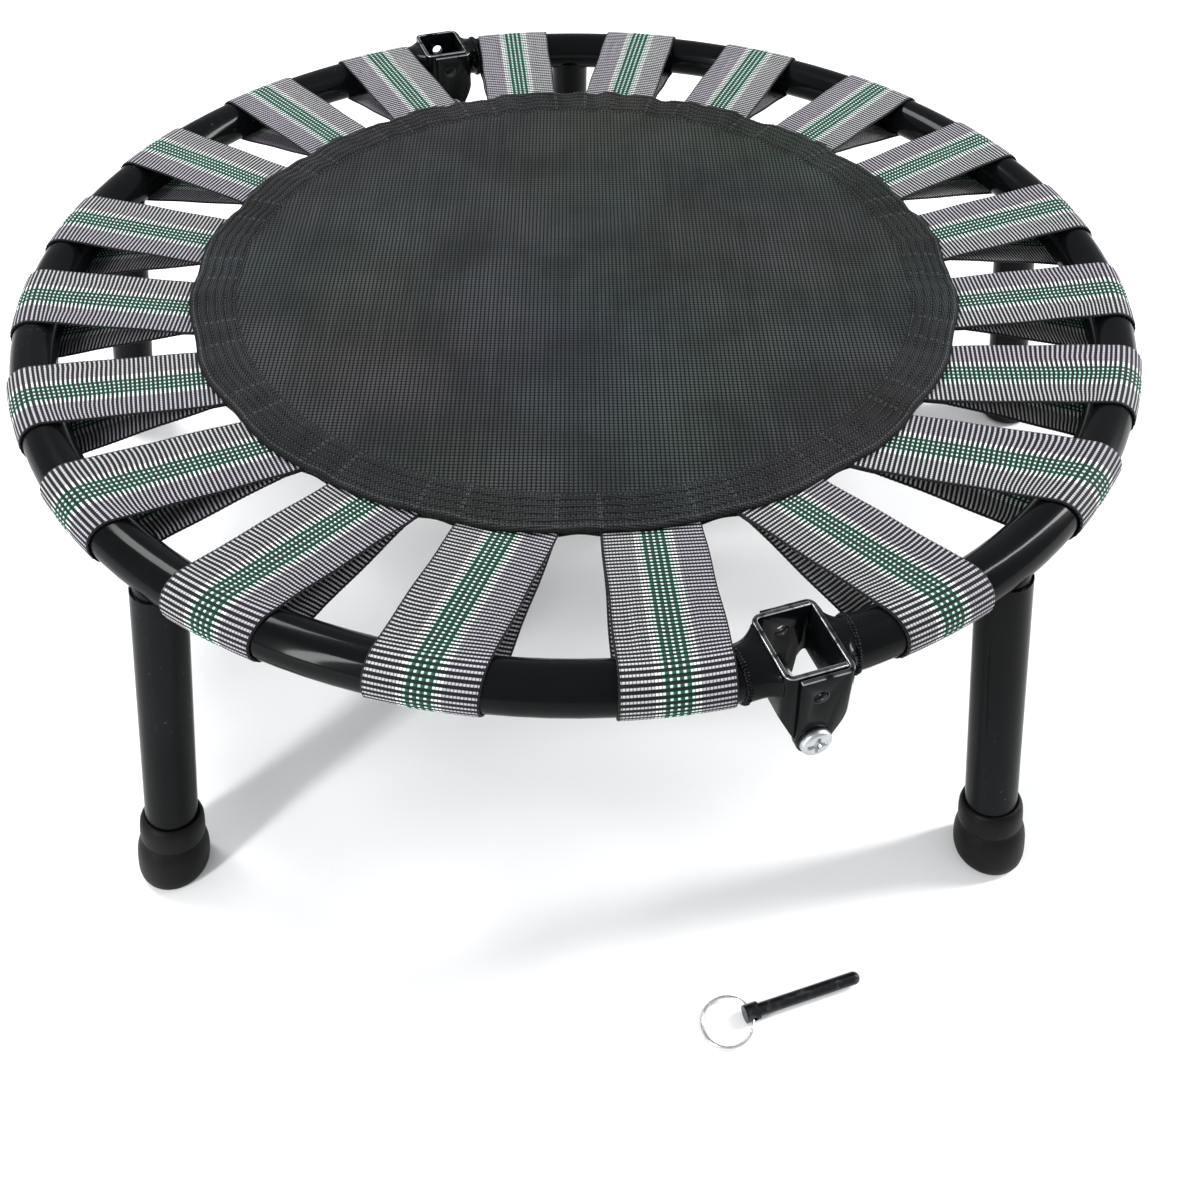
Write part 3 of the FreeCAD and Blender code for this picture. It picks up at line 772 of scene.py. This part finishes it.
# ---- Webbing loops ----------------------------------------------------------------------------
# Twenty loops of 65 mm ribbed elastic webbing, black and white with four green lines. Each goes
# round the tube and back, and both its ends are sewn between the mat and the hem facing.
webbing_thick = 0.0013
half_at_mat, half_at_tube = 0.0305, 0.0325      # half widths
rib_relief = 0.00026
rib_flat, rib_bent = 0.0029, 0.0035
columns = 33
bend_radius = tube_radius + 0.0004 + webbing_thick / 2
sewn_end = hem_start + 0.0015


def ribbed_webbing():
    finish = Finish("ribbed_elastic_webbing", {"Specular IOR Level": 0.2, "Sheen Weight": 0.04,
                                               "Sheen Roughness": 0.5})
    place = finish.node("ShaderNodeSeparateXYZ", {0: finish.place("UV")})
    across, along = place, Tone(finish, place.socket.node.outputs[1])
    black, dim, bright = (0.002, 0.002, 0.003, 1), (0.47, 0.47, 0.48, 1), (0.86, 0.88, 0.86, 1)
    lilac, green, mint = (0.43, 0.41, 0.46, 1), (0.004, 0.085, 0.047, 1), (0.55, 0.80, 0.69, 1)
    runs = ((0, black), (0.6, dim), (10, bright), (12, mint), (13, green), (14, mint), (15, green),
            (16, mint), (17, green), (18, mint), (19, green), (20, mint), (21, bright), (23, lilac),
            (32.4, black))
    yarns = finish.node("ShaderNodeValToRGB", {0: across},
                        stops=[(start / columns, colour) for start, colour in runs])
    crest = finish.step((along + 0.25).ridge(), 0.48, 0.7)
    bead = finish.step((across * columns).ridge(), 0.05, 0.5)
    stripe = finish.step(across, 11.95 / columns, 12.05 / columns) * (
        1 - finish.step(across, 20.95 / columns, 21.05 / columns))
    shown = crest * (0.22 + bead * 0.78)
    in_space = finish.place()
    worn = finish.noise(in_space, 140.0, 3.0)
    fuzz = finish.noise(in_space, 2200.0, 2.0)
    gap = finish.mix(stripe, black, (0.0025, 0.009, 0.007, 1))
    colour = finish.mix(shown * (0.82 + worn * 0.3), gap, yarns)
    finish.vary("Base Color", colour)
    finish.vary("Roughness", 0.75 - fuzz * 0.15)
    finish.bump(crest * 1.4 + bead * 0.5 + fuzz * 0.25, 0.00035, 0.9)
    return finish.material


def loop_route():
    """Side view of a loop's middle line: (along, height, ribs so far, whether it is sewn in)."""
    end = sewn_end - ring_radius
    seam = mat_radius - 0.002 - ring_radius
    upper, lower = 0.0078, 0.0064
    route = []
    first = math.atan2(upper, seam) - math.acos(bend_radius / math.hypot(seam, upper))
    last = -math.atan2(lower, -seam) - math.pi + math.acos(bend_radius / math.hypot(seam, lower))
    along_upper = [Vector((end, upper)), Vector((seam, upper)),
                   Vector((bend_radius * math.cos(first), bend_radius * math.sin(first)))]
    along_lower = [Vector((bend_radius * math.cos(last), bend_radius * math.sin(last))),
                   Vector((seam, lower)), Vector((end, lower))]
    phase = 0.0
    quarter = 0.25      # a row of points at every quarter of a rib

    def walk(start, stop, sewn):
        nonlocal phase
        steps = max(2, round((stop - start).length / (rib_flat * quarter)))
        for step in range(steps):
            spot = start.lerp(stop, step / steps)
            route.append((spot.x, spot.y, phase, sewn))
            phase += (stop - start).length / steps / rib_flat

    walk(along_upper[0], along_upper[1], sewn=True)
    walk(along_upper[1], along_upper[2], sewn=False)
    steps = round((first - last) * bend_radius / (rib_bent * quarter))
    for step in range(steps):
        angle = first + (last - first) * step / steps
        route.append((bend_radius * math.cos(angle), bend_radius * math.sin(angle), phase, False))
        phase += (first - last) * bend_radius / steps / rib_bent
    walk(along_lower[0], along_lower[1], sewn=False)
    walk(along_lower[1], along_lower[2], sewn=True)
    route.append((along_lower[2].x, along_lower[2].y, phase, True))
    return route


def loop_turns(node):
    """Azimuth of a loop's tube end and mat end, from the outermost and innermost of its CAD solid."""
    spots = np.array([vertex.co for vertex in frame["nodes"][node].data.vertices]) - np.array(ring_middle)
    far = np.hypot(spots[:, 0], spots[:, 1])
    turns = []
    for chosen in (far > far.max() - 0.02, far < far.min() + 0.012):
        mean = spots[chosen].mean(0)
        middle = math.atan2(mean[1], mean[0])
        spread = [math.remainder(math.atan2(y, x) - middle, 2 * math.pi) for x, y, _ in spots[chosen]]
        turns.append(middle + (min(spread) + max(spread)) / 2)
    return turns


def webbing_loop(side, number, route, cloth):
    """A loop along the route, in rows of points across both faces, skewed to lie flush on the tube."""
    node = f"webbing_{side}_{number:02d}"
    tube_turn, mat_turn = loop_turns(node)
    chance = random.Random(number * 7 + len(side))
    at_tube = Vector((math.cos(tube_turn), math.sin(tube_turn))) * ring_radius
    at_mat = Vector((math.cos(mat_turn), math.sin(mat_turn))) * sewn_end
    way = (at_tube - at_mat).normalized()
    beside = Vector((-way.y, way.x))
    outward = at_tube.normalized()
    skew = -beside.dot(outward) / way.dot(outward)
    run = (at_tube - at_mat).length
    flat_run = -route[0][0]
    shares = [-1, -0.97, -0.8, -0.55, -0.27, 0, 0.27, 0.55, 0.8, 0.97, 1]
    breathing, bowing, wandering = [chance.uniform(-1, 1) for _ in range(3)]
    points, uvs = [], []
    total = len(route)
    for row, (along, height, phase, sewn) in enumerate(route):
        after = route[min(row + 1, total - 1)]
        before = route[max(row - 1, 0)]
        tangent = Vector((after[0] - before[0], after[1] - before[1])).normalized()
        normal = Vector((-tangent.y, tangent.x))
        reach = grown(along, route[0][0], flat_run)
        width = half_at_mat + (half_at_tube - half_at_mat) * reach
        width += 0.0003 * math.sin(phase * 0.31 + breathing * 3)
        tube_share = grown(reach, 0.45, 0.5) ** 2
        gathered = 4 * tube_share * (1 - tube_share)
        bow = 0.0006 * math.sin(reach * math.pi) * bowing
        for face_side in (1, -1):
            for share in (shares if face_side > 0 else shares[::-1]):
                w = share * width
                rib = phase + 0.22 * gathered * math.sin(6.5 * share + 3 * wandering)
                relief = rib_relief * math.sin(2 * math.pi * rib) * (0.25 if sewn else 1.0)
                body_thick = (webbing_thick / 2 + relief) * (0.55 if abs(share) == 1 else 1.0)
                shift = (-w * w / (2 * ring_radius) + w * skew) * tube_share
                s = along / flat_run * run + shift + normal.x * body_thick * face_side
                lift = bow * (1 - share * share) * (1 if height > 0 else -1)
                flat = at_tube + way * s + beside * w
                points.append((ring_middle.x + flat.x, flat.y,
                               ring_middle.z + height + normal.y * body_thick * face_side + lift))
                uvs.append(((share + 1) / 2, rib))
    ring = 2 * len(shares)
    faces = ring_faces(total - 1, ring)
    faces.append(tuple(range(ring))[::-1])
    faces.append(tuple((total - 1) * ring + spot for spot in range(ring)))
    loop = lay_faces(f"elastic_loop_{side}_{number:02d}", points, faces, cloth, uvs)
    turn_outwards(loop.data, merge=False)
    if number in (1, loops // 2):
        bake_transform(loop)
    else:
        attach(loop, side + "_frame")
    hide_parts(node)
    return loop


elastic = ribbed_webbing()
route = loop_route()
cut_length = sum(math.hypot(b[0] - a[0], b[1] - a[1]) for a, b in zip(route, route[1:]))
elastic_loops = [webbing_loop(side, number, route, elastic)
                 for side in ("right", "left") for number in range(1, loops // 2 + 1)]


# ---- Stitching --------------------------------------------------------------------------------
# Six rows of black thread round the hem, and a double bar of stitches at each edge of every loop. The
# lines are drawn flat above the mat, spread with stitches, and dropped onto the cloth.
bar_offset = 0.0285                 # a bar lies this far to each side of its loop's middle
bar_gap = 0.0014                    # between a bar's two threads
bar_start, bar_end, bar_points = 0.2505, 0.2775, 14
bar_round = 0.265                   # radius at which those widths are turned into angles
guide_height = 0.3


def stitch_recipe(thread):
    recipe = Recipe("stitches", {"Geometry": "Geometry", "Cloth": "Object", "Pitch": "Float",
                                 "Thread": "Float"})
    lines = recipe.node("GeometryNodeMeshToCurve", {0: recipe.size("Geometry")})
    spread = recipe.node("GeometryNodeCurveToPoints", {"Curve": lines, "Length": recipe.size("Pitch")},
                         mode="LENGTH")
    turned = Tone(recipe, spread.socket.node.outputs["Rotation"])
    cloth = recipe.node("GeometryNodeObjectInfo", {"Object": recipe.size("Cloth")}, output="Geometry")
    hit = recipe.node("GeometryNodeRaycast", {"Target Geometry": cloth, "Ray Direction": (0, 0, -1),
                                              "Ray Length": 0.2}, output="Hit Position")
    laid = recipe.node("GeometryNodeSetPosition", {0: spread, "Position": hit})
    bar = recipe.node("GeometryNodeMeshUVSphere", {"Segments": 6, "Rings": 4,
                                                   "Radius": recipe.size("Thread")})
    length = recipe.node("ShaderNodeCombineXYZ", {0: 1.0, 1: 1.0, 2: 3.4})
    sewn = recipe.node("GeometryNodeInstanceOnPoints", {"Points": laid, "Instance": bar, "Rotation": turned,
                                                        "Scale": length})
    recipe.finish(sewn, thread)
    return recipe


def sewing_thread():
    finish = Finish("bonded_thread", {"Specular IOR Level": 0.5, "Sheen Weight": 0.2})
    cloud = finish.noise(finish.place(), 60.0, 3.0)
    finish.vary("Base Color", finish.mix(cloud, (0.004, 0.0044, 0.005, 1), (0.030, 0.032, 0.035, 1)))
    finish.vary("Roughness", 0.45 + cloud * 0.2)
    return finish.material


def guide_lines():
    """The sewing lines seen from above: circles for the rows, short radial bars beside each loop."""
    points, edges = [], []
    steps = 720
    for radius in stitch_rows + (mat_radius - 0.0032,):
        first = len(points)
        for step in range(steps):
            turn = 2 * math.pi * step / steps
            far = pulled_in(radius, turn)
            points.append((ring_middle.x + far * math.cos(turn), far * math.sin(turn), guide_height))
            edges.append((first + step, first + (step + 1) % steps))
    for number in range(loops):
        middle = -math.pi / 2 + (number + 0.5) * 2 * math.pi / loops
        for beside in (-bar_offset, bar_offset):
            for thread in (-bar_gap / 2, bar_gap / 2):
                first = len(points)
                turn = middle + (beside + thread) / bar_round
                for radius in np.linspace(bar_start, bar_end, bar_points):
                    points.append((ring_middle.x + radius * math.cos(turn), radius * math.sin(turn),
                                   guide_height))
                edges.extend((first + step, first + step + 1) for step in range(bar_points - 1))
    guide = bpy.data.meshes.new("sewing_lines")
    guide.from_pydata(points, edges, [])
    return guide


stitches = stitch_recipe(sewing_thread()).make("hem_stitches", guide_lines(), Cloth=mat,
                                               Pitch=0.0034, Thread=0.00036)
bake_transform(stitches)


# ---- Floor, light and camera ------------------------------------------------------------------
# A pale studio floor, a soft light high over the far left, a strip on each side for the long
# highlights on the tube, and an even pale surround.
def pale_floor():
    finish = Finish("pale_floor", {})
    cloud = finish.noise(finish.place(), 3.0, 3.0)
    finish.vary("Base Color", finish.mix(cloud, (0.88, 0.88, 0.88, 1), (0.91, 0.91, 0.91, 1)))
    finish.vary("Roughness", 0.6 + cloud * 0.1)
    return finish.material


floor_corners = [(-9, -9, 0), (9, -9, 0), (9, 9, 0), (-9, 9, 0)]
floor = lay_faces("studio_floor", floor_corners, [(0, 1, 2, 3)], pale_floor())

surround = bpy.data.worlds.new("studio")
surround.use_nodes = True
surround.node_tree.nodes["Background"].inputs["Color"].default_value = (0.95, 0.97, 1.0, 1)
surround.node_tree.nodes["Background"].inputs["Strength"].default_value = 0.72
bpy.context.scene.world = surround
bpy.context.scene.view_settings.view_transform = "Standard"


def soft_light(name, place, width, depth, power):
    light = bpy.data.lights.new(name, "AREA")
    light.shape, light.size, light.size_y, light.energy = "RECTANGLE", width, depth, power
    lamp = bpy.data.objects.new(name, light)
    bpy.context.scene.collection.objects.link(lamp)
    lamp.location = place
    lamp.rotation_euler = (ring_middle - Vector(place)).to_track_quat("-Z", "Y").to_euler()


soft_light("overhead_softbox", (-0.9, 1.3, 2.4), 1.0, 0.8, 58)
soft_light("right_strip", (2.2, -0.4, 1.5), 0.26, 2.2, 78)
soft_light("left_strip", (-2.2, -1.2, 1.2), 0.26, 2.0, 60)

camera_reach = 0.8815        # level distance from the ring's middle
camera_height = 0.8531
camera_turn = math.radians(251.4)
look_down = math.radians(40.05)
lens = bpy.data.cameras.new("camera")
lens.sensor_width = 36.0
lens.lens = 42.357
lens.shift_x = 0.013167
lens.shift_y = -0.15
lens.clip_start = 0.02
camera = bpy.data.objects.new("camera", lens)
bpy.context.scene.collection.objects.link(camera)
camera.location = (ring_middle.x + camera_reach * math.cos(camera_turn),
                   camera_reach * math.sin(camera_turn), camera_height)
camera.rotation_euler = (math.radians(90) - look_down, 0.0, camera_turn - math.radians(270))
bpy.context.scene.camera = camera
